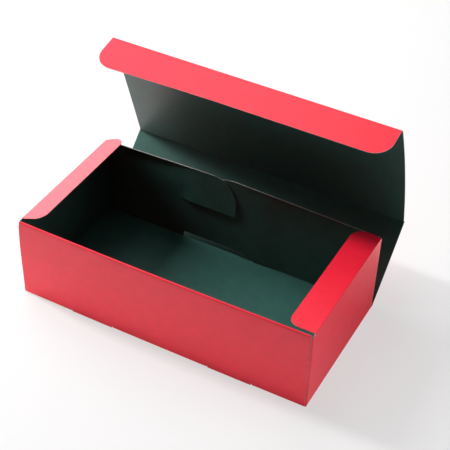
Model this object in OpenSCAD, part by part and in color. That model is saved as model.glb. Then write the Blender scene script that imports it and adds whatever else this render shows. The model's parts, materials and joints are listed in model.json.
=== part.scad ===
// A cookie box folded from one sheet of thin card: a tray with a rolled front wall and
// rear flaps that lock into each other, a back panel, a lid with a tuck flap and two dust flaps.
// The origin is the middle of the floor's underside: X runs along the box, Y to its back, Z up.
// A panel's inner face is the green one, and every hinged fold turns round an axis on that face.

/* [Box] */
// Length over the end walls
box_l = 240; // [180:1:360]
// Depth from the front face to the back panel when it is shut
box_w = 120; // [90:1:200]
// Height of the end walls
box_h = 70; // [60:1:110]

/* [Card] */
// Thickness of the card
card_t = 0.5; // [0.35:0.05:0.7]
// Air between two layers that lie together
ply_gap = 0.15; // [0.1:0.05:0.3]
// Inside radius of a crease that stays folded
fold_r = 0.4; // [0.4:0.05:0.8]
// Room between a hinged fold and the panel that turns round it
hinge_gap = 0.05; // [0.03:0.01:0.15]

/* [Back panel and lid] */
// How far the back panel leans out from upright
back_lean = 46.7; // [0:0.1:85]
// Bend between the back panel and the lid
lid_bend = 66.5; // [10:0.1:90]
// How far the lid's middle bows outwards
lid_bow = 3.3; // [1:0.1:6]
// How far the lid stops short of the end walls' faces
lid_short = 0.6; // [0.6:0.1:2]

/* [Tuck flap] */
// Depth of the tuck flap
tuck_d = 28.5; // [20:0.5:40]
// Bend between the lid and the tuck flap
tuck_bend = 82.5; // [10:0.1:98]
// Radius of the tuck flap's two corners
tuck_corner_r = 15; // [5:0.5:18]
// Room between the shut tuck flap and the front wall
tuck_play = 0.2; // [0.1:0.05:0.5]
// Room between each end of the tuck flap and the end wall
tuck_end_play = 0.6; // [0.3:0.1:2]

/* [Dust flaps] */
// Width of a dust flap
dust_w = 20; // [14:0.5:35]
// Lift of the left dust flap from level
left_dust_lift = 21.5; // [0:0.5:90]
// Lift of the right dust flap from level
right_dust_lift = 0; // [0:0.5:90]
// Radius of a dust flap's front corner
dust_front_r = 8; // [2:0.5:9]
// Radius of a dust flap's rear corner
dust_rear_r = 10.5; // [2:0.5:12]
// How far the rear edge runs out towards that corner
dust_slant = 1.5; // [0:0.1:3]

/* [Front wall] */
// How far the front layer stops short of the end walls' faces
front_short = 1.2; // [1:0.1:3]
// Distance from the middle of the box to the middle of a locking tab
tab_at = 58.5; // [35:0.5:62]
// Length of the slot that a locking tab plugs into
slot_l = 37; // [20:1:50]
// Room at each end of a locking tab in its slot
tab_play = 0.8; // [0.3:0.1:2]
// Length of the front corner flaps between the two layers
corner_flap_l = 42; // [20:1:60]
// Slant at the corners of their free edge
corner_flap_slant = 8; // [1:1:15]

/* [Rear flaps] */
// Height at which the two flaps cross
lock_z = 38.5; // [30:0.5:42]
// Width of the slit that lets them cross
slit = 0.6; // [0.4:0.1:1.5]
// Where the left flap's upper tongue ends
left_end = -1.2; // [-10:0.1:5]
// Where the right flap's upper tongue ends, behind the left one
right_end = -30; // [-36:1:-20]
// Radius of the round corner of both upper tongues
tongue_r = 23; // [8:1:25]
// Length of the slit in the left flap
slit_l = 50; // [45:1:70]
// How far the left flap's lower tongue reaches behind the right flap
lower_reach = 18; // [12:1:30]
// Radius of that tongue's corners
lower_r = 6; // [2:0.5:10]
// Where the right flap's lower edge starts
lower_edge = 1.4; // [0:0.1:5]
// How far that edge is hollowed out
hollow = 2.9; // [1:0.1:5]
// Height of the relief along the bottom of the flaps
relief_h = 6.5; // [4:0.5:12]
// Where the relief starts in the left flap
relief_left = -47; // [-70:1:-30]
// Where the relief's ramp ends in the right flap
relief_right = 18; // [16:1:40]
// Length of that ramp
relief_ramp = 11; // [4:1:12]
// Length over which a flap leans into its own layer
lean_l = 18; // [10:1:30]
// How far the right flap's lean keeps from the left flap's lower tongue
lean_room = 4; // [2:0.5:8]
// How far the flaps' top edge lies below the end walls
rear_drop = 0.5; // [0.3:0.1:2]
// Height of the corner flaps' and rear flaps' bottom edge over the floor
foot_gap = 0.7; // [0.5:0.1:2]

/* [Hidden] */
$fn = 48;

OUTSIDE = "crimson";
// the lid's bow has a long radius, so its circle needs fine facets
BOW_FN = 720;
// longer than any cut through the card
THROUGH = 10;
// how far round a hinged fold the card that fills it reaches into its own panel
ROOT_ANGLE = 20;

crease_r = fold_r + card_t;
ply = card_t + ply_gap;
crease_x = box_l / 2 - crease_r;
end_x = box_l / 2 - card_t;
foot_z = card_t + foot_gap;

// the axes of the back panel's and the lid's folds when the box is shut
back_y = box_w / 2 - card_t;
lid_z = box_h + ply;
back_h = lid_z - card_t;
// a hinged panel starts clear of the bead that fills the outside of its fold
hinge_start = card_t + hinge_gap;

// the front wall's three layers, from the outside in, under one roll
front_y = -box_w / 2;
corner_flap_y = front_y + ply;
inner_ply_y = corner_flap_y + ply;
front_wall_y = inner_ply_y + card_t;
roll_r = (front_wall_y - front_y) / 2;
roll_z = box_h - roll_r;
front_l = box_l - 2 * front_short;
corner_flap_top = box_h - 2 * roll_r;

// the shut tuck flap stands just behind the front wall, and the dust flaps behind that
tuck_y = front_wall_y + tuck_play + card_t;
lid_d = back_y - tuck_y;
lid_l = box_l - 2 * lid_short;
bow_r = lid_d * lid_d / (8 * lid_bow) + lid_bow / 2;
tuck_half = end_x - tuck_end_play;
dust_front_y = tuck_y + 2 * tuck_play;
dust_rear_y = back_y - 2 * ply_gap - dust_slant;

// the rear wall's three layers, from the outside in
rear_y = back_y - ply_gap - card_t;
middle_y = rear_y - ply;
inner_y = middle_y - ply;
rear_corner_y = rear_y + card_t - crease_r;
rear_top = box_h - rear_drop;
relief_z = foot_z + relief_h;
hollow_z = (relief_z + lock_z) / 2;
// a hollow this deep over the height of the lower edge is an arc of this radius
hollow_r = pow(lock_z - relief_z, 2) / (8 * hollow) + hollow / 2;

// a block of card between two corners
module block(low, high) {
    translate(low) cube(high - low);
}

// a right-angle crease along +Z, from the +X side round to the +Y side
module crease(length) {
    rotate_extrude(angle = 90) translate([fold_r, 0]) square([card_t, length]);
}

// the card that fills the outside of a hinged fold, as a rod in the same place: a quarter of
// it shows, and the rest is its root in the panel that carries it
module fold_bead(length) {
    rotate(-ROOT_ANGLE) rotate_extrude(angle = 90 + ROOT_ANGLE) square([card_t, length]);
}

// an outline in X and Z as a sheet of the card with its front face at y
module upright(y, thickness = card_t) {
    translate([0, y + thickness, 0]) rotate([90, 0, 0]) linear_extrude(thickness) children();
}

// an outline along a hinge and away from it, as a sheet with its inner face on the axis:
// the hinge is along X for the back panel, lid and tuck flap
module hinged_on_x() {
    translate([0, 0, -card_t]) linear_extrude(card_t) children();
}

// and along Y for the dust flap of the left end wall, which starts upright
module hinged_on_y() {
    translate([-card_t, 0, 0]) rotate([90, 0, 90]) linear_extrude(card_t) children();
}

// a flap's outline along its hinge and away from it, with its two free corners rounded
module flap_outline(from, to, depth, from_r, to_r) {
    height = depth - hinge_start;
    translate([from + from_r, hinge_start]) square([to - from - from_r - to_r, height]);
    intersection() {
        translate([from, hinge_start]) square([to - from, height]);
        union() {
            translate([from, hinge_start]) square([2 * from_r, height - from_r]);
            translate([to - 2 * to_r, hinge_start]) square([2 * to_r, height - to_r]);
            translate([from + from_r, depth - from_r]) circle(from_r);
            translate([to - to_r, depth - to_r]) circle(to_r);
        }
    }
}

// the flat middle of the sheet, with slots for the locking tabs along its front edge
module floor_panel() {
    difference() {
        block([-crease_x, front_y + crease_r, 0], [crease_x, back_y, card_t]);
        for (side = [-1, 1])
            block([side * tab_at - slot_l / 2, front_y, -THROUGH],
                  [side * tab_at + slot_l / 2, front_wall_y + ply_gap, THROUGH]);
    }
    translate([-box_l / 2, back_y, card_t]) rotate([0, 90, 0]) fold_bead(box_l);
}

// the fold between the floor and the front wall, over one stretch of it
module front_crease(from_x, to_x) {
    translate([from_x, front_y + crease_r, crease_r])
        rotate([0, 90, 0]) rotate(-90) crease(to_x - from_x);
}

// outer layer, rolled top and inner layer, whose tabs plug into the floor
module front_wall() {
    block([-front_l / 2, front_y, crease_r], [front_l / 2, front_y + card_t, roll_z]);
    front_crease(-front_l / 2, -tab_at - slot_l / 2);
    front_crease(slot_l / 2 - tab_at, tab_at - slot_l / 2);
    front_crease(tab_at + slot_l / 2, front_l / 2);
    translate([-front_l / 2, front_y + roll_r, roll_z]) rotate([0, 90, 0]) rotate(90)
        rotate_extrude(angle = 180) translate([roll_r - card_t, 0]) square([card_t, front_l]);
    block([-front_l / 2, inner_ply_y, foot_z], [front_l / 2, front_wall_y, roll_z]);
    for (side = [-1, 1]) {
        // where the fold is cut for a slot, the outer layer ends in a lip on the table
        block([side * tab_at - slot_l / 2, front_y, 0],
              [side * tab_at + slot_l / 2, front_y + card_t, crease_r]);
        block([side * tab_at - slot_l / 2 + tab_play, inner_ply_y, 0],
              [side * tab_at + slot_l / 2 - tab_play, front_wall_y, foot_z]);
    }
}

// the flap that runs from an end wall into the front wall, between its two layers
module corner_flap() {
    free_x = box_l / 2 - corner_flap_l;
    upright(corner_flap_y) polygon([
        [crease_x, foot_z],
        [crease_x, corner_flap_top],
        [free_x + corner_flap_slant, corner_flap_top],
        [free_x, corner_flap_top - corner_flap_slant],
        [free_x, foot_z + corner_flap_slant],
        [free_x + corner_flap_slant, foot_z]]);
}

// the right end wall, with its folds to the floor, to the front, to the rear and to its dust flap
module end_wall() {
    wall_front_y = corner_flap_y + crease_r;
    block([end_x, wall_front_y, crease_r], [box_l / 2, rear_corner_y, box_h]);
    translate([crease_x, wall_front_y, crease_r]) rotate([-90, 0, 0])
        crease(rear_corner_y - wall_front_y);
    translate([end_x, dust_rear_y, box_h]) rotate([90, 0, 0]) fold_bead(dust_rear_y - dust_front_y);
    translate([crease_x, wall_front_y, foot_z]) rotate(-90) crease(corner_flap_top - foot_z);
    translate([crease_x, rear_corner_y, foot_z]) crease(rear_top - foot_z);
}

// a sheet that leans from one layer of the rear wall to another, seen from above: it runs from
// from_x, starts to lean at bend_x, is in its own layer lean_l further on and ends at to_x
module leaning(from_x, bend_x, to_x, layer_y) {
    way = sign(to_x - from_x);
    line = [[from_x, rear_y], [bend_x, rear_y], [bend_x + way * lean_l, layer_y], [to_x, layer_y]];
    far = [for (i = [len(line) - 1:-1:0]) line[i] + [0, card_t]];
    linear_extrude(box_h) polygon(concat(line, far));
}

// a tongue's outline from edge_x to its round end, above the crossing
module upper_tongue(edge_x, tip_x) {
    way = sign(tip_x - edge_x);
    round_x = tip_x - way * tongue_r;
    low = lock_z + slit / 2;
    round_z = rear_top - tongue_r;
    intersection() {
        translate([min(edge_x, tip_x), low]) square([abs(tip_x - edge_x), rear_top - low]);
        union() {
            translate([min(edge_x, round_x), low]) square([abs(round_x - edge_x), rear_top - low]);
            translate([min(edge_x, tip_x), low]) square([abs(tip_x - edge_x), round_z - low]);
            translate([round_x, round_z]) circle(tongue_r);
        }
    }
}

// the left flap: its upper tongue lies in front of the right flap, its lower tongue behind it
module left_rear_flap() {
    root_x = left_end - slit_l;
    tongue_top = lock_z - slit / 2;
    upright(rear_y) {
        polygon([
            [-crease_x, foot_z],
            [relief_left, foot_z],
            [relief_left, relief_z],
            [lower_reach - lower_r, relief_z],
            [lower_reach, relief_z + lower_r],
            [lower_reach, tongue_top - lower_r],
            [lower_reach - lower_r, tongue_top],
            [root_x, tongue_top],
            [root_x, rear_top],
            [-crease_x, rear_top]]);
        for (z = [relief_z + lower_r, tongue_top - lower_r])
            translate([lower_reach - lower_r, z]) circle(lower_r);
    }
    // the upper tongue overlaps its own root, so that the two are one sheet
    intersection() {
        leaning(root_x - lean_l, root_x, left_end, inner_y);
        upright(inner_y - card_t, rear_y - inner_y + 3 * card_t)
            upper_tongue(root_x - lean_l, left_end);
    }
}

// the right flap, in the middle layer where it crosses the left one
module right_rear_flap() {
    lean_x = lower_reach + lean_room + lean_l;
    intersection() {
        leaning(crease_x, lean_x, right_end, middle_y);
        upright(middle_y - card_t, rear_y - middle_y + 3 * card_t) {
            upper_tongue(crease_x, right_end);
            difference() {
                polygon([
                    [crease_x, foot_z],
                    [relief_right, foot_z],
                    [relief_right - relief_ramp, relief_z],
                    [lower_edge, relief_z],
                    [lower_edge, lock_z + slit],
                    [crease_x, lock_z + slit]]);
                translate([lower_edge + hollow - hollow_r, hollow_z]) circle(hollow_r, $fn = 120);
            }
        }
    }
}

// everything that stays put: floor, rolled front wall, end walls and the locked rear flaps
module tray() {
    color(OUTSIDE) {
        floor_panel();
        front_wall();
        left_rear_flap();
        right_rear_flap();
        for (side = [0, 1]) mirror([side, 0, 0]) {
            end_wall();
            corner_flap();
        }
    }
}

// the frames of the three folds along X, each one inside the one before
module at_back() {
    translate([0, back_y, card_t]) rotate([90 - back_lean, 0, 0]) children();
}

module at_lid() {
    at_back() translate([0, back_h, 0]) rotate([lid_bend, 0, 0]) children();
}

module at_tuck() {
    at_lid() translate([0, lid_d, 0]) rotate([tuck_bend, 0, 0]) children();
}

// the bead along a panel's far edge, where the next panel is hinged
module far_bead(distance, length) {
    translate([-length / 2, distance, 0]) rotate([0, 90, 0]) fold_bead(length);
}

module back_panel() {
    color(OUTSIDE) at_back() {
        hinged_on_x() translate([-box_l / 2, hinge_start]) square([box_l, back_h - hinge_start]);
        far_bead(back_h, box_l);
    }
}

// the lid is bowed outwards between its two folds
module lid() {
    color(OUTSIDE) at_lid() {
        translate([-lid_l / 2, 0, 0]) rotate([90, 0, 90]) linear_extrude(lid_l) intersection() {
            translate([hinge_start, -2 * lid_bow - card_t])
                square([lid_d - hinge_start, 2 * lid_bow + 2 * card_t]);
            translate([lid_d / 2, bow_r - lid_bow]) difference() {
                circle(bow_r + card_t, $fn = BOW_FN);
                circle(bow_r, $fn = BOW_FN);
            }
        }
        far_bead(lid_d, 2 * tuck_half);
    }
}

module tuck_flap() {
    color(OUTSIDE) at_tuck() hinged_on_x()
        flap_outline(-tuck_half, tuck_half, tuck_d, tuck_corner_r, tuck_corner_r);
}

// the left dust flap: its rear edge slants out before it turns the corner
module dust_flap(lift) {
    tip_y = dust_rear_y + dust_slant;
    color(OUTSIDE) translate([-end_x, 0, box_h]) rotate([0, 90 - lift, 0]) hinged_on_y()
        intersection() {
            flap_outline(dust_front_y, tip_y, dust_w, dust_front_r, dust_rear_r);
            polygon([
                [dust_front_y, 0],
                [dust_rear_y, 0],
                [tip_y, dust_w / 4],
                [tip_y, dust_w],
                [dust_front_y, dust_w]]);
        }
}

module left_dust_flap() {
    dust_flap(left_dust_lift);
}

module right_dust_flap() {
    mirror([1, 0, 0]) dust_flap(right_dust_lift);
}

tray();
back_panel();
lid();
tuck_flap();
left_dust_flap();
right_dust_flap();
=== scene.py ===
import json
import math

import bpy
import numpy as np
from mathutils import Matrix, Vector
from mathutils.geometry import delaunay_2d_cdt


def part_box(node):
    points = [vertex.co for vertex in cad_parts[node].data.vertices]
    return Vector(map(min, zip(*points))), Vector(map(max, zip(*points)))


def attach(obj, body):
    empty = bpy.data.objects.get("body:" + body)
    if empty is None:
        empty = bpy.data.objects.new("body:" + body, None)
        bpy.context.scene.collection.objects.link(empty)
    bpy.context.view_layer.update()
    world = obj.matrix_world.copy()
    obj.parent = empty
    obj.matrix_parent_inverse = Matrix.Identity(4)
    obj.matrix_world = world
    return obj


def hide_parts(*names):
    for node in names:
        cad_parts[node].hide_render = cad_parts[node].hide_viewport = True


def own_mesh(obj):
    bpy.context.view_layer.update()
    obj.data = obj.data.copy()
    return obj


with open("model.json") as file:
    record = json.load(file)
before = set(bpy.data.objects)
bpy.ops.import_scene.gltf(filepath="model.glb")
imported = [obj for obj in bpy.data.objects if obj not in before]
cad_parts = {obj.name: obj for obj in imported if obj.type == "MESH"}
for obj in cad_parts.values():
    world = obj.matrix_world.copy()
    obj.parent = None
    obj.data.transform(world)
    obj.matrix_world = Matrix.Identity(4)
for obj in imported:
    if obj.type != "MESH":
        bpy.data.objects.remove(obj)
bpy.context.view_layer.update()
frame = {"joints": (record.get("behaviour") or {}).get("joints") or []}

# The sheet of card
# The whole box is one die-cut sheet of half-millimetre folding boxboard: its outside is printed
# red under a satin coating, its inside dark green, and a cut edge shows the grey core between.
MM = 0.001
joints = {joint["name"]: np.array(joint["pos_m"]) / MM for joint in frame["joints"]}
CARD = joints["back_fold"][2]
FOLD_R = 0.4
CREASE_R = FOLD_R + CARD
PLY_GAP = 0.15
PLY = CARD + PLY_GAP
# a grid this fine lets a panel bow without facets that show
GRID = 5.0
CREASE_STEPS = 6
WELD = 0.001
GREEN, RED, CORE = 0, 1, 2


def stops(*places, step=GRID):
    """Grid lines through every place given, with even ones between them, at most a step apart."""
    places = sorted(set(places))
    spans = [np.linspace(a, b, max(1, math.ceil((b - a) / step)) + 1)[:-1]
             for a, b in zip(places, places[1:])]
    return np.append(np.concatenate(spans), places[-1])


def arc(centre, radius, start, end, steps=CREASE_STEPS):
    """Points on an arc of a circle, the angles in degrees, as rows of two coordinates."""
    angle = np.radians(np.linspace(start, end, steps + 1))
    return np.array(centre) + radius * np.stack([np.cos(angle), np.sin(angle)], axis=1)


def grid(us, vs, place, keep=None, flip=False):
    """A patch of the green face: place turns the whole arrays of u and v into x, y and z. The red
    face lies on the side of du cross dv, or on the other with flip. keep says which cells stay."""
    u, v = np.meshgrid(us, vs, indexing="ij")
    points = np.stack(np.broadcast_arrays(*place(u, v)), axis=-1).reshape(-1, 3)
    at = np.arange(u.size).reshape(u.shape)
    quads = np.stack([at[:-1, :-1], at[1:, :-1], at[1:, 1:], at[:-1, 1:]], axis=-1)
    if keep is not None:
        u_middle = (u[:-1, :-1] + u[1:, 1:]) / 2
        v_middle = (v[:-1, :-1] + v[1:, 1:]) / 2
        quads = quads[keep(u_middle, v_middle)]
    quads = quads.reshape(-1, 4)
    return points, quads[:, ::-1] if flip else quads


def cut(outline, us, vs, place, flip=False):
    """A patch with a die-cut outline: the outline and a grid of points inside it are joined into
    triangles while the card is flat, and place then folds them to where they are."""
    outline = np.array(outline, float)
    u, v = np.meshgrid(us[1:-1], vs[1:-1], indexing="ij")
    flat = np.concatenate([outline, np.stack([u.ravel(), v.ravel()], axis=1)])
    loop = list(range(len(outline)))
    made = delaunay_2d_cdt([Vector(p) for p in flat], [], [loop], 1, 1e-5)
    flat = np.array([tuple(p) for p in made[0]])
    faces = np.array([tuple(f) for f in made[2]])
    a, b, c = (flat[faces[:, i]] for i in range(3))
    turned = (b[:, 0] - a[:, 0]) * (c[:, 1] - a[:, 1]) < (b[:, 1] - a[:, 1]) * (c[:, 0] - a[:, 0])
    faces[turned] = faces[turned][:, ::-1]
    points = np.stack(np.broadcast_arrays(*place(flat[:, 0], flat[:, 1])), axis=-1)
    return points, faces[:, ::-1] if flip else faces


def mirrored(patch):
    """The same patch at the box's other end."""
    points, faces = patch
    return points * [-1, 1, 1], faces[:, ::-1]


def as_mesh(name, points, faces, slots, materials):
    """A mesh object from arrays: rows of points in mm, lists of corners, and a slot for each."""
    mesh = bpy.data.meshes.new(name)
    mesh.from_pydata((points * MM).tolist(), [], faces)
    for material in materials:
        mesh.materials.append(material)
    mesh.polygons.foreach_set("material_index", np.array(slots, np.int32))
    mesh.polygons.foreach_set("use_smooth", np.ones(len(faces), bool))
    mesh.set_sharp_from_angle(angle=math.radians(35))
    mesh.validate()
    piece = bpy.data.objects.new(name, mesh)
    bpy.context.scene.collection.objects.link(piece)
    return piece


def folded_card(name, patches, beads=(), bend=None):
    """Joins patches of the green face where their points meet, gives the sheet its thickness on
    the red side, and closes every edge that only one face has with a strip of the core."""
    counts = [len(points) for points, faces in patches]
    points = np.concatenate([points for points, faces in patches])
    shifts = np.cumsum([0] + counts[:-1])
    cells = np.floor(points / WELD + 0.37).astype(np.int64)
    _, first, joined = np.unique(cells, axis=0, return_index=True, return_inverse=True)
    joined = joined.ravel()
    points = points[first]
    if bend is not None:
        points = bend(points)
    faces = [joined[patch_faces + shift] for (_, patch_faces), shift in zip(patches, shifts)]
    # points that only cells left out had are dropped
    used = np.unique(np.concatenate([block.ravel() for block in faces]))
    faces = [np.searchsorted(used, block) for block in faces]
    points = points[used]
    count = len(points)

    normals = np.zeros_like(points)
    edges = []
    for block in faces:
        corners = points[block]
        face_normals = np.cross(corners[:, 2] - corners[:, 0], corners[:, -1] - corners[:, 1])
        if block.shape[1] == 3:
            face_normals = np.cross(corners[:, 1] - corners[:, 0], corners[:, 2] - corners[:, 0])
        for corner in range(block.shape[1]):
            np.add.at(normals, block[:, corner], face_normals)
            edges.append(np.stack([block[:, corner], np.roll(block, -1, axis=1)[:, corner]], axis=1))
    normals /= np.linalg.norm(normals, axis=1, keepdims=True)
    edges = np.concatenate(edges)
    keys = edges.min(axis=1) * count + edges.max(axis=1)
    _, which, uses = np.unique(keys, return_inverse=True, return_counts=True)
    a, b = edges[uses[which.ravel()] == 1].T
    rim = np.stack([a, b, b + count, a + count], axis=1)

    all_points = [points, points + normals * CARD]
    all_faces = []
    slots = []
    for block in faces:
        all_faces += block[:, ::-1].tolist() + (block + count).tolist()
        slots += [GREEN] * len(block) + [RED] * len(block)
    all_faces += rim.tolist()
    slots += [CORE] * len(rim)
    total = 2 * count
    for bead_points, bead_faces, bead_slots in beads:
        all_points.append(bead_points)
        all_faces += [[corner + total for corner in face] for face in bead_faces]
        slots += bead_slots
        total += len(bead_points)
    return as_mesh(name, np.concatenate(all_points), all_faces, slots,
                   [green_print, red_coat, grey_core])


def bead(axis, start, end, low, high, along):
    """The stretched outside of a hinged fold: a sector of a rod of the card's thickness, turned
    round the fold's axis from one angle to another. along says whether the fold runs along x or y,
    and axis gives its place in the other horizontal direction and in z."""
    section = np.concatenate([[axis], arc(axis, CARD, start, end, 8)])
    count = len(section)
    ends = [np.full(count, low), np.full(count, high)]
    rings = [np.stack([end_at, section[:, 0], section[:, 1]] if along == "x"
                      else [section[:, 0], end_at, section[:, 1]], axis=1) for end_at in ends]
    ring = list(range(count))
    sides = [[i, (i + 1) % count, (i + 1) % count + count, i + count] for i in ring]
    faces = sides + [ring[::-1], [i + count for i in ring]]
    if along == "y":
        faces = [face[::-1] for face in faces]
    slots = [RED] * count + [CORE, CORE]
    return np.concatenate(rings), faces, slots


def linear(code):
    """An sRGB hex colour as linear red, green, blue and alpha."""
    values = np.array([int(code[i:i + 2], 16) for i in (1, 3, 5)]) / 255
    values = np.where(values <= 0.04045, values / 12.92, ((values + 0.055) / 1.055) ** 2.4)
    return (*values.tolist(), 1.0)


def add(tree, kind, inputs=None, **settings):
    """Adds a node with its settings. An input is a value, or another node's output to link."""
    made = tree.nodes.new(kind)
    for name, value in settings.items():
        setattr(made, name, value)
    for name, value in (inputs or {}).items():
        if isinstance(value, bpy.types.NodeSocket):
            tree.links.new(value, made.inputs[name])
        else:
            made.inputs[name].default_value = value
    return made


def new_material(name):
    """An empty material and its node tree."""
    material = bpy.data.materials.new(name)
    material.use_nodes = True
    material.node_tree.nodes.clear()
    return material, material.node_tree


CLOUD, PEEL, WAVE = 9 * MM, 1.6 * MM, 38 * MM


def printed_board(name, colour, shade, roughness, roughness_spread, bump, ior=1.5):
    """Printed and coated board. Ink lies unevenly on the fibres, in soft clouds a few millimetres
    across, and the coating keeps a faint orange peel that breaks up what it reflects. The card
    itself is never quite flat: it waves by a tenth of a millimetre over a few centimetres."""
    material, tree = new_material(name)
    place = add(tree, "ShaderNodeTexCoord").outputs["Object"]
    clouds = add(tree, "ShaderNodeTexNoise", {"Vector": place, "Scale": 1 / CLOUD, "Detail": 5.0,
                                              "Roughness": 0.62})
    peel = add(tree, "ShaderNodeTexNoise", {"Vector": place, "Scale": 1 / PEEL, "Detail": 3.0,
                                            "Roughness": 0.6})
    ink = add(tree, "ShaderNodeMapRange", {"Value": clouds.outputs["Fac"], "From Min": 0.3,
                                           "From Max": 0.7})
    tint = add(tree, "ShaderNodeMix", {"Factor": ink.outputs["Result"], "A": linear(shade),
                                       "B": linear(colour)}, data_type="RGBA")
    gloss = add(tree, "ShaderNodeMapRange", {"Value": peel.outputs["Fac"], "From Min": 0.3,
                                             "From Max": 0.7, "To Min": roughness - roughness_spread,
                                             "To Max": roughness + roughness_spread})
    waves = add(tree, "ShaderNodeTexNoise", {"Vector": place, "Scale": 1 / WAVE, "Detail": 1.0})
    warp = add(tree, "ShaderNodeBump", {"Height": waves.outputs["Fac"], "Strength": 0.6,
                                        "Distance": 0.5 * MM})
    relief = add(tree, "ShaderNodeBump", {"Height": peel.outputs["Fac"], "Strength": bump,
                                          "Distance": 0.02 * MM, "Normal": warp.outputs["Normal"]})
    surface = add(tree, "ShaderNodeBsdfPrincipled", {"Base Color": tint.outputs["Result"],
                                                     "Roughness": gloss.outputs["Result"],
                                                     "Normal": relief.outputs["Normal"], "IOR": ior})
    add(tree, "ShaderNodeOutputMaterial", {"Surface": surface.outputs["BSDF"]})
    return material


# the satin red mirrors a soft sheen, the green ink is a little more matt, and raw board is dull
red_coat = printed_board("red_satin_coated_board", "#F7213B", "#EF1D36", 0.40, 0.04, 0.35, 1.38)
green_print = printed_board("dark_green_printed_board", "#366259", "#305952", 0.42, 0.05, 0.4, 1.43)
grey_core = printed_board("grey_board_core", "#B9B6B0", "#A5A29C", 0.8, 0.05, 0.3)

# The tray's floor and rolled front wall
# The sheet runs from the fold at the back along the floor, up the front, round a roll at the top
# and down inside, where two tabs plug into slots in the floor. At the slots the fold is cut away.
low, high = [np.array(corner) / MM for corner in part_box("tray")]
END_X = high[0]
FRONT_Y = low[1]
WALL_TOP = joints["left_dust_fold"][2]
BACK_Y = joints["back_fold"][1]
CREASE_X = END_X - CREASE_R
FOOT_Z = CARD + 0.1
FRONT_END = END_X - 1.2
SLOT_FROM, SLOT_TO = 40.0, 77.0
TAB_PLAY = 0.8
INNER_PLY_Y = FRONT_Y + 2 * PLY
FRONT_WALL_Y = INNER_PLY_Y + CARD
SLOT_BACK_Y = FRONT_WALL_Y + PLY_GAP
ROLL_R = (FRONT_WALL_Y - FRONT_Y) / 2
ROLL = (FRONT_Y + ROLL_R, WALL_TOP - ROLL_R)
CORNER_FLAP_Y = FRONT_Y + PLY
WALL_FRONT_Y = CORNER_FLAP_Y + CREASE_R
REAR_Y = BACK_Y - PLY_GAP - CARD
REAR_CORNER_Y = REAR_Y + CARD - CREASE_R

both_signs = (SLOT_FROM, SLOT_TO, SLOT_FROM + TAB_PLAY, SLOT_TO - TAB_PLAY, FRONT_END, CREASE_X)
tray_xs = stops(0, *both_signs, *(-x for x in both_signs))
floor_ys = stops(FRONT_Y + CREASE_R, WALL_FRONT_Y, SLOT_BACK_Y, REAR_CORNER_Y, BACK_Y)
front_xs = tray_xs[abs(tray_xs) <= FRONT_END]


def over_slot(x):
    """Whether a place along the front lies over one of the two slots."""
    return (abs(x) > SLOT_FROM) & (abs(x) < SLOT_TO)


def over_tab(x):
    """Whether a place along the front lies over one of the two tabs, which have play in the slots."""
    return (abs(x) > SLOT_FROM + TAB_PLAY) & (abs(x) < SLOT_TO - TAB_PLAY)


def along_profile(profile, xs, keep=None):
    """A patch that carries a profile of y and z along x."""
    rows = np.arange(len(profile))
    return grid(xs, rows, lambda x, row: (x, profile[row.astype(int), 0], profile[row.astype(int), 1]),
                keep)


def column(y, zs):
    """A straight upright piece of a profile, at one y."""
    return np.stack([np.full(len(zs), y), zs], axis=1)


tray = [grid(tray_xs, floor_ys[::-1], lambda x, y: (x, y, CARD),
             lambda x, y: ~(over_slot(x) & (y < SLOT_BACK_Y)))]
tray.append(along_profile(arc((FRONT_Y + CREASE_R, CREASE_R), FOLD_R, 270, 180), front_xs,
                          lambda x, row: ~over_slot(x)))
# the cut at each end of a slot runs a little way up into the outer layer
NOTCH_TOP = CREASE_R + 0.8
front_profile = np.concatenate([
    column(FRONT_Y + CARD, stops(CREASE_R, NOTCH_TOP, ROLL[1]))[:-1],
    arc(ROLL, ROLL_R - CARD, 180, 0, 12),
    column(INNER_PLY_Y, stops(FOOT_Z, ROLL[1])[::-1])[1:]])
tray.append(along_profile(front_profile, front_xs,
                          lambda x, row: (row > 1) | over_tab(x) | ~over_slot(x)))
tray.append(along_profile(column(FRONT_Y + CARD, np.array([0, CREASE_R])), front_xs,
                          lambda x, row: over_tab(x)))
tray.append(along_profile(column(INNER_PLY_Y, np.array([FOOT_Z, 0])), front_xs,
                          lambda x, row: over_tab(x)))

# The end walls and front corner flaps
# Each end wall folds up from the floor. From its front edge a flap turns into the front wall,
# where the roll holds it, and its top edge carries the bead of the dust flap's fold.
CORNER_FLAP_FREE_X = END_X - 42
CORNER_FLAP_SLANT = 8.0
CORNER_FLAP_TOP = WALL_TOP - 2 * ROLL_R
REAR_TOP = WALL_TOP - 0.5
DUST_FRONT_Y = FRONT_WALL_Y + 0.2 + CARD + 2 * 0.2
DUST_SLANT = 1.5
DUST_TIP_Y = BACK_Y - 2 * PLY_GAP
DUST_REAR_Y = DUST_TIP_Y - DUST_SLANT

wall_ys = floor_ys[(floor_ys >= WALL_FRONT_Y - WELD) & (floor_ys <= REAR_CORNER_Y + WELD)]
wall_zs = stops(CREASE_R, CORNER_FLAP_TOP, REAR_TOP, WALL_TOP)
corner_zs = np.append(FOOT_Z, wall_zs[wall_zs <= CORNER_FLAP_TOP + WELD])
rear_zs = np.append(FOOT_Z, wall_zs[wall_zs <= REAR_TOP + WELD])
LOW_Z = 0.05


def along_plan(plan, zs, flip=False):
    """A patch that carries a line in the floor plan up along z."""
    rows = np.arange(len(plan))
    return grid(rows, zs, lambda row, z: (plan[row.astype(int), 0], plan[row.astype(int), 1], z),
                flip=flip)


def corner_flap_height(x, z):
    """Draws the free edge's two corners in by the slant."""
    share = np.clip((CORNER_FLAP_FREE_X + CORNER_FLAP_SLANT - x) / CORNER_FLAP_SLANT, 0, 1)
    inset = share * CORNER_FLAP_SLANT
    height = CORNER_FLAP_TOP - FOOT_Z
    return FOOT_Z + inset + (z - FOOT_Z) / height * (height - 2 * inset)


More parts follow.
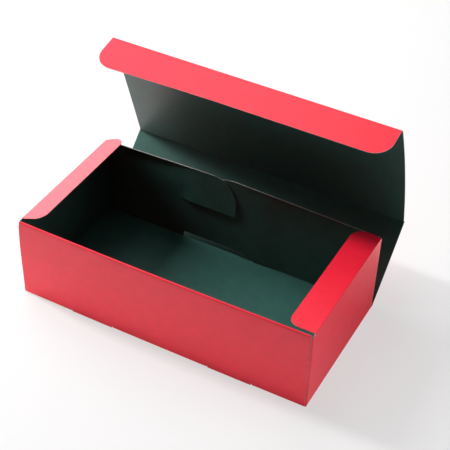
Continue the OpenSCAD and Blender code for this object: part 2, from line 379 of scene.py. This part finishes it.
floor_fold = arc((CREASE_X, CREASE_R), FOLD_R, 270, 360)
end_parts = [
    grid(wall_ys, np.arange(len(floor_fold)),
         lambda y, row: (floor_fold[row.astype(int), 0], y, floor_fold[row.astype(int), 1])),
    grid(wall_ys, wall_zs, lambda y, z: (END_X - CARD, y, z)),
    along_plan(arc((CREASE_X, WALL_FRONT_Y), FOLD_R, 270, 360), np.append(LOW_Z, corner_zs)),
    along_plan(arc((CREASE_X, REAR_CORNER_Y), FOLD_R, 0, 90), np.append(LOW_Z, rear_zs)),
    grid(stops(CORNER_FLAP_FREE_X, CORNER_FLAP_FREE_X + CORNER_FLAP_SLANT, CREASE_X), corner_zs,
         lambda x, z: (x, CORNER_FLAP_Y + CARD, corner_flap_height(x, z)))]
tray += end_parts + [mirrored(part) for part in end_parts]

# The rear flaps
# A flap turns in from each end wall and the two are locked by a slit: the left one's upper tongue
# lies in front of the right flap and its lower tongue behind it. A low relief along the bottom
# keeps both clear of the floor's fold, and both lean out of the wall's plane where they cross.
MIDDLE_Y = REAR_Y - PLY
INNER_Y = MIDDLE_Y - PLY
LOCK_Z = 38.5
SLIT = 0.6
LEFT_END, RIGHT_END = -1.2, -30.0
TONGUE_R = 23.0
SLIT_L = 50.0
LOWER_REACH, LOWER_R = 18.0, 6.0
LOWER_EDGE, HOLLOW = 1.4, 2.9
RELIEF_Z = CARD + 5.2
RELIEF_LEFT, RELIEF_RIGHT, RELIEF_RAMP = -47.0, 18.0, 11.0
LEAN_L, LEAN_ROOM = 18.0, 4.0
LEFT_LEAN_BEFORE, LEFT_LEAN_PAST = 40, 20
FREE_RISE, FREE_RUN = 15, 10
SPRING, SPRING_L = 0.3, 14.0
UPPER_Z, LOWER_Z = LOCK_Z + SLIT / 2, LOCK_Z - SLIT / 2


def leaning(x, start, end, layer_y):
    """Where a flap's green face lies: in the wall's plane up to start, in its own layer from end,
    and between them on a smooth half wave of a cosine."""
    share = np.clip((x - start) / (end - start), 0, 1)
    return REAR_Y + (layer_y - REAR_Y) * (0.5 - 0.5 * np.cos(np.pi * share))


def side_points(x, zs):
    """An upright side of an outline, at one x."""
    return [(x, z) for z in zs]


hollow_low, hollow_high = RELIEF_Z, LOWER_Z
hollow_r = (hollow_high - hollow_low) ** 2 / (8 * HOLLOW) + HOLLOW / 2
hollow_zs = np.linspace(hollow_high, hollow_low, 13)
hollow_xs = LOWER_EDGE + HOLLOW - hollow_r + np.sqrt(
    hollow_r ** 2 - (hollow_zs - (hollow_low + hollow_high) / 2) ** 2)
right_round = arc((RIGHT_END + TONGUE_R, REAR_TOP - TONGUE_R), TONGUE_R, 90, 180, 16)
right_outline = (
    side_points(CREASE_X, rear_zs)
    + [tuple(p) for p in right_round]
    + [(RIGHT_END, UPPER_Z), (LOWER_EDGE, UPPER_Z)]
    + list(zip(hollow_xs, hollow_zs))
    + [(RELIEF_RIGHT - RELIEF_RAMP, RELIEF_Z), (RELIEF_RIGHT, FOOT_Z)])
right_bend = LOWER_REACH + LEAN_ROOM + LEAN_L
rear = [cut(right_outline, stops(RIGHT_END, CREASE_X), rear_zs,
            lambda x, z: (x, leaning(x, right_bend, right_bend - LEAN_L, MIDDLE_Y), z), flip=True)]

root_x = LEFT_END - SLIT_L
left_round = arc((LEFT_END - TONGUE_R, REAR_TOP - TONGUE_R), TONGUE_R, 90, 0, 16)
lower_top = arc((LOWER_REACH - LOWER_R, LOWER_Z - LOWER_R), LOWER_R, 90, 0)
lower_bottom = arc((LOWER_REACH - LOWER_R, RELIEF_Z + LOWER_R), LOWER_R, 0, -90)
slit_xs = stops(root_x, LEFT_END, step=2.5)
slit_share = (slit_xs - root_x) / SLIT_L
left_outline = (
    side_points(-CREASE_X, rear_zs)
    + [tuple(p) for p in left_round]
    + list(zip(slit_xs[::-1], (LOCK_Z + SLIT / 2 * slit_share)[::-1]))
    + list(zip(slit_xs[1:], (LOCK_Z - SLIT / 2 * slit_share)[1:]))
    + [tuple(p) for p in lower_top]
    + [tuple(p) for p in lower_bottom]
    + [(RELIEF_LEFT, RELIEF_Z), (RELIEF_LEFT, FOOT_Z)])


def left_layer(x, z):
    """Above the slit the left flap leans in front of the right one, and below it the flap stays in
    the wall's plane. It leans from well before the slit, where only its upper part can, and its
    free end has sprung forwards a little more."""
    spring = np.clip((x - LEFT_END + SPRING_L) / SPRING_L, 0, 1) ** 2
    free = np.maximum(np.clip((z - LOCK_Z) / FREE_RISE, 0, 1), np.clip((x - root_x) / FREE_RUN, 0, 1))
    layer = leaning(x, root_x - LEFT_LEAN_BEFORE, root_x + LEFT_LEAN_PAST, INNER_Y)
    lean = (layer - REAR_Y) * free - SPRING * spring
    return REAR_Y + np.where(z > LOCK_Z - WELD, lean, 0)


rear.append(cut(left_outline, stops(-CREASE_X, LOWER_REACH), rear_zs,
                lambda x, z: (x, left_layer(x, z), z), flip=True))


BULGE, BULGE_MIDDLE, BULGE_POWER = 1.2, 3.7, 2.2


def rear_set(points):
    """The locked flaps spring back between the end walls: by an even share that ends at the walls,
    and by a half wave of a cosine, both times a power of the height above the relief."""
    x, y, z = points.T
    along = BULGE * (1 - (x / END_X) ** 8) + BULGE_MIDDLE * np.cos(np.pi / 2 * x / END_X)
    up = np.clip((z - RELIEF_Z) / (REAR_TOP - RELIEF_Z), 0, 1) ** BULGE_POWER
    return points + np.stack([0 * x, along * up, 0 * z], axis=1)


rear_card = folded_card("rear_flaps_card", rear, bend=rear_set)
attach(rear_card, "tray")
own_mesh(rear_card)

# The tray as one sheet
# The front wall bellies forwards, and its outer layer runs out to the left end wall's face, where
# nothing holds it back.
FOOT_OUT, FOOT_BELLY = 0.45, 0.75
TOP_OUT, TOP_BELLY = 0.45, 0.5
BELLY_X, BELLY_L = -15, 260
BELLY_DEPTH, BELLY_FADE = 8, 6
STRETCH, STRETCH_MIDDLE, STRETCH_TOP = 1.3, 0.7, 0.8
STRETCH_L, STRETCH_TOP_L = 30, 4
LAYER_DEPTH, LAYER_FADE = 1.1, 0.5


def tray_set(points):
    """The belly is a half wave of a cosine along the wall that grows in step with the height. The
    stretch grows over the last part of the outer layer, most at half height."""
    x, y, z = points.T
    up = np.clip(z / WALL_TOP, 0, 1)
    along = np.cos(np.pi * (x - BELLY_X) / BELLY_L)
    front = np.clip((FRONT_Y + BELLY_DEPTH - y) / BELLY_FADE, 0, 1)
    belly = front * (FOOT_OUT + FOOT_BELLY * along + (TOP_OUT + TOP_BELLY * along) * up)
    left = np.clip((STRETCH_L - END_X - x) / (STRETCH_L - END_X + FRONT_END), 0, 1)
    outer = np.clip((FRONT_Y + LAYER_DEPTH - y) / LAYER_FADE, 0, 1)
    top = np.clip((z - WALL_TOP + STRETCH_TOP_L) / STRETCH_TOP_L, 0, 1) ** 2
    swell = STRETCH + STRETCH_MIDDLE * np.sin(np.pi * up ** 1.7) - STRETCH_TOP * top
    stretch = left * outer * swell
    return points - np.stack([stretch, belly, 0 * z], axis=1)


dust_beads = [
    bead((END_X - CARD, WALL_TOP), -8, 98, DUST_FRONT_Y, DUST_REAR_Y, "y"),
    bead((CARD - END_X, WALL_TOP), 188, 82, DUST_FRONT_Y, DUST_REAR_Y, "y")]
tray_card = folded_card(
    "tray_card", tray,
    dust_beads + [bead((BACK_Y, CARD), -98, 8, -END_X, END_X, "x")], tray_set)
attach(tray_card, "tray")
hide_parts("tray")

# The back panel
# It is hinged along the floor's rear edge and leans out behind the tray. Its top edge carries the
# bead of the lid's fold.
back_axis = joints["back_fold"][1:]
lid_axis = joints["lid_fold"][1:]
tuck_axis = joints["tuck_fold"][1:]
panel_xs = stops(-END_X, 0, END_X)


def hinged(axis, angle, rise=lambda x, away: 0 * away):
    """Places a panel that runs from an axis along x at an angle to the table: u is along the axis,
    v is away from it, and rise says how far outwards each point lies from the flat."""
    way = np.array([math.cos(angle), math.sin(angle)])
    out = np.array([math.sin(angle), -math.cos(angle)])

    def place(x, away):
        height = rise(x, away)
        return (x, axis[0] + away * way[0] + height * out[0],
                axis[1] + away * way[1] + height * out[1])

    return place


def bowed(height, length):
    """The rise of a panel that is bowed over its length."""
    return lambda x, away: 4 * height * (away / length) * (1 - away / length)


def heading(start, end):
    """The angle and the distance from one axis to the next, in the plane of y and z."""
    step = end - start
    return math.atan2(step[1], step[0]), float(np.hypot(*step))


back_angle, back_height = heading(back_axis, lid_axis)
back_card = folded_card(
    "back_card",
    [grid(panel_xs, stops(0, back_height),
          hinged(back_axis, back_angle, bowed(0.5, back_height)), flip=True)],
    [bead(lid_axis, math.degrees(back_angle) - 98, math.degrees(back_angle) + 8, -END_X, END_X, "x")])
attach(back_card, "back_panel")
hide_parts("back_panel")

# The lid
# It is hinged along the back panel's top edge and bows outwards between its two folds, as thin
# card does when its edges are pulled together. The left edge has pulled itself nearly straight,
# and its far corner has come forwards a little.
LID_END = END_X - 0.6
LID_BOW, LEFT_BOW = 3.3, 0.6
CORNER_DIP = 0.4
TUCK_END = END_X - CARD - 0.6
lid_angle, lid_depth = heading(lid_axis, tuck_axis)


def lid_dip(x):
    """How far the lid's front edge has come forwards: none from the middle on, most at the left."""
    return CORNER_DIP * np.clip((-40 - x) / 80, 0, 1)


def lid_rise(x, away):
    """The bow, which grows from the left edge to its full height on a smooth step, less the dip."""
    share = np.clip((x + LID_END) / (1.6 * LID_END), 0, 1)
    bow = LEFT_BOW + (LID_BOW - LEFT_BOW) * share * share * (3 - 2 * share)
    return bowed(bow, lid_depth)(x, away) - lid_dip(x) * away / lid_depth


lid_card = folded_card(
    "lid_card",
    [grid(stops(-LID_END, -TUCK_END, 0, TUCK_END, LID_END), stops(0, lid_depth),
          hinged(lid_axis, lid_angle, lid_rise), flip=True)],
    [bead(tuck_axis, math.degrees(lid_angle) - 98, math.degrees(lid_angle) + 8,
          -TUCK_END, TUCK_END, "x")])
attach(lid_card, "lid")
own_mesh(lid_card)
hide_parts("lid")

# The tuck flap
# It is hinged along the lid's front edge, with round corners, and tucks in behind the front wall.
TUCK_D = 28.5
TUCK_R = 15.0
TUCK_BEND = math.radians(82.5)
TUCK_SPREAD, TUCK_WIDER = 0.06, 0.5
tuck_outline = (
    [(x, 0) for x in stops(-TUCK_END, TUCK_END)]
    + [tuple(p) for p in arc((TUCK_END - TUCK_R, TUCK_D - TUCK_R), TUCK_R, 0, 90, 16)]
    + [(x, TUCK_D) for x in stops(TUCK_R - TUCK_END, TUCK_END - TUCK_R)[-2:0:-1]]
    + [tuple(p) for p in arc((TUCK_R - TUCK_END, TUCK_D - TUCK_R), TUCK_R, 90, 180, 16)])
tuck_way = hinged(tuck_axis, lid_angle + TUCK_BEND)


def tuck_place(x, away):
    """The left end is a little deeper and wider, and follows the lid's corner."""
    left = np.clip((-20 - x) / 100, 0, 1)
    x, y, z = tuck_way(x - TUCK_WIDER * np.clip((-60 - x) / 60, 0, 1) * away / TUCK_D,
                       away * (1 + TUCK_SPREAD * left))
    dip = lid_dip(x)
    return x, y - dip * math.sin(lid_angle), z + dip * math.cos(lid_angle)


tuck_card = folded_card(
    "tuck_card",
    [cut(tuck_outline, stops(-TUCK_END, TUCK_END), stops(0, TUCK_D, step=3), tuck_place, flip=True)])
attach(tuck_card, "tuck_flap")
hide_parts("tuck_flap")

# The dust flaps
# Each is hinged along the top of an end wall. The front corner is round, and the rear edge runs
# out a little before it turns the corner. The left flap has sprung up, the right one lies level
# and is a millimetre wider.
DUST_W = 20.0
DUST_FRONT_R, DUST_REAR_R = 8.0, 10.5
LIFTS = {"left": math.radians(21.5), "right": 0.0}
REACH = {"left": 1.0, "right": 1.05}
dust_outline = (
    [(y, 0) for y in stops(DUST_FRONT_Y, DUST_REAR_Y)]
    + [(DUST_TIP_Y, DUST_W / 4)]
    + [tuple(p) for p in arc((DUST_TIP_Y - DUST_REAR_R, DUST_W - DUST_REAR_R), DUST_REAR_R, 0, 90, 12)]
    + [tuple(p) for p in arc((DUST_FRONT_Y + DUST_FRONT_R, DUST_W - DUST_FRONT_R), DUST_FRONT_R,
                             90, 180, 10)])
for end, side in (("left", -1), ("right", 1)):
    lift = LIFTS[end]
    reach = REACH[end]
    flap = cut(dust_outline, stops(DUST_FRONT_Y, DUST_TIP_Y), stops(0, DUST_W, step=3),
               lambda y, away: (side * (END_X - CARD - away * reach * math.cos(lift)), y,
                                WALL_TOP + away * reach * math.sin(lift)), flip=side < 0)
    dust_card = folded_card(end + "_dust_card", [flap])
    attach(dust_card, end + "_dust_flap")
    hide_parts(end + "_dust_flap")

# The table
# A matt white table, much larger than the view, so that it is also the backdrop. For all but camera
# rays its colour is painted nearly black from a little way in front of the box. This painted shade
# keeps the lid's inside and the rear flaps as dark as they are. Close to the box's front it glows with
# painted light of its own, which lights the front wall from below though it is no lamp. The camera sees
# it all white, but for what lies under the box.
TABLE_HALF = 3000.0
TABLE_Z = -0.1
table_material, tree = new_material("white_studio_table")
place = add(tree, "ShaderNodeTexCoord").outputs["Object"]
apart = add(tree, "ShaderNodeSeparateXYZ", {0: place})
seen = add(tree, "ShaderNodeLightPath").outputs["Is Camera Ray"]
# painted shade: for all but camera rays the table's colour falls from white to nearly black between 250
# and 450 mm in front of the box
painted_dark_far_front = add(tree, "ShaderNodeMapRange", {"Value": apart.outputs["Y"], "From Min": -450 * MM,
                                        "From Max": -250 * MM, "To Min": 0.02, "To Max": 0.93},
           interpolation_type="SMOOTHSTEP")
shade = add(tree, "ShaderNodeMapRange", {"Value": seen, "To Min": painted_dark_far_front.outputs["Result"],
                                         "To Max": 0.29})
# painted light: for all but camera rays the table glows, most in front of the box and fading out
# towards its back, and so lights the front wall though it is no lamp
front = add(tree, "ShaderNodeMapRange", {"Value": apart.outputs["Y"], "From Min": 110 * MM,
                                         "From Max": -120 * MM, "To Max": 0.48},
            interpolation_type="SMOOTHSTEP")
painted_glow = add(tree, "ShaderNodeMath", {0: painted_dark_far_front.outputs["Result"], 1: front.outputs["Result"]},
           operation="MULTIPLY")
off_centre = add(tree, "ShaderNodeVectorMath", {0: place}, operation="ABSOLUTE")
off_apart = add(tree, "ShaderNodeSeparateXYZ", {0: off_centre.outputs["Vector"]})
beside = add(tree, "ShaderNodeMath", {0: off_apart.outputs["X"], 1: (END_X - 0.6) * MM},
             operation="GREATER_THAN")
before = add(tree, "ShaderNodeMath", {0: off_apart.outputs["Y"], 1: (BACK_Y - 0.3) * MM},
             operation="GREATER_THAN")
outside = add(tree, "ShaderNodeMath", {0: beside.outputs["Value"], 1: before.outputs["Value"]},
              operation="MAXIMUM")
white = add(tree, "ShaderNodeMath", {0: outside.outputs["Value"], 1: 0.59}, operation="MULTIPLY")
# camera rays see the backdrop's white outside the box's footprint, and all other rays see the painted
# glowing light
backdrop_white_and_painted_glow = add(tree, "ShaderNodeMapRange", {"Value": seen, "To Min": painted_glow.outputs["Value"],
                                         "To Max": white.outputs["Value"]})
surface = add(tree, "ShaderNodeBsdfPrincipled", {"Base Color": shade.outputs["Result"],
                                                 "Roughness": 0.9, "Specular IOR Level": 0.2,
                                                 "Emission Color": (1, 1, 1, 1),
                                                 "Emission Strength": backdrop_white_and_painted_glow.outputs["Result"]})
add(tree, "ShaderNodeOutputMaterial", {"Surface": surface.outputs["BSDF"]})
table_points, table_faces = grid(np.linspace(-1, 1, 5) * TABLE_HALF, np.linspace(-1, 1, 5) * TABLE_HALF,
                                 lambda x, y: (x, y, TABLE_Z))
table = as_mesh("table", table_points, table_faces.tolist(), [0] * len(table_faces), [table_material])

# The light
# Softboxes round a dark room. The key stands at the left end and reaches the far side of the floor,
# a wide one overhead at the back left lights the flaps, low ones at the back left glance off the
# left dust flap, and one at the right lights the end wall. None stands in front.
LIGHT_AIM = Vector((0, 0.03, 0.05))
LIGHT_DISTANCE = 1.3


def softbox(name, azimuth, elevation, width, height, power):
    """A soft lamp that faces the box. The azimuth is in degrees from the right end of the box
    towards its back, and the elevation in degrees above the table."""
    azimuth, elevation = math.radians(azimuth), math.radians(elevation)
    way = Vector((math.cos(elevation) * math.cos(azimuth), math.cos(elevation) * math.sin(azimuth),
                  math.sin(elevation)))
    lamp_data = bpy.data.lights.new(name, "AREA")
    lamp_data.shape = "RECTANGLE"
    lamp_data.size = width
    lamp_data.size_y = height
    lamp_data.energy = power
    lamp = bpy.data.objects.new(name, lamp_data)
    bpy.context.scene.collection.objects.link(lamp)
    lamp.location = LIGHT_AIM + way * LIGHT_DISTANCE
    lamp.rotation_euler = (-way).to_track_quat("-Z", "Y").to_euler()


softbox("key_strip_left", 181, 39, 0.16, 0.6, 18.5)
softbox("overhead", 140, 63, 0.8, 0.8, 6.2)
softbox("back", 116, 42, 0.6, 0.6, 1.4)
softbox("low_back_left", 150, 18, 0.8, 0.8, 9.1)
softbox("low_left", 180, 18, 0.8, 0.8, 5.2)
softbox("right", 28, 9, 0.8, 0.5, 5.4)
softbox("ceiling", 0, 85, 0.8, 0.8, 1.6)

world = bpy.data.worlds.new("dark_studio")
bpy.context.scene.world = world
world.use_nodes = True
world.node_tree.nodes.clear()
tree = world.node_tree
seen = add(tree, "ShaderNodeLightPath").outputs["Is Camera Ray"]
surround = add(tree, "ShaderNodeBackground", {"Color": (1, 1, 1, 1), "Strength": seen})
add(tree, "ShaderNodeOutputWorld", {"Surface": surround.outputs["Background"]})

# The camera
# A short telephoto view from the front right and above, tipped a little to one side.
AIM = Vector((-0.0058, 0.0508, 0.035))
DISTANCE = 0.9656
AZIMUTH, ELEVATION, ROLL = math.radians(26.51), math.radians(39.70), math.radians(-2.65)
camera_data = bpy.data.cameras.new("camera")
camera_data.lens = 98.26
camera_data.sensor_width = 36.0
camera = bpy.data.objects.new("camera", camera_data)
bpy.context.scene.collection.objects.link(camera)
bpy.context.scene.camera = camera
back = Vector((math.sin(AZIMUTH) * math.cos(ELEVATION), -math.cos(AZIMUTH) * math.cos(ELEVATION),
               math.sin(ELEVATION)))
level = Vector((0, 0, 1)).cross(back).normalized()
up = back.cross(level)
right = level * math.cos(ROLL) - up * math.sin(ROLL)
camera.matrix_world = Matrix.Translation(AIM + back * DISTANCE) @ Matrix(
    (right, back.cross(right), back)).transposed().to_4x4()

bpy.context.scene.view_settings.view_transform = "Standard"
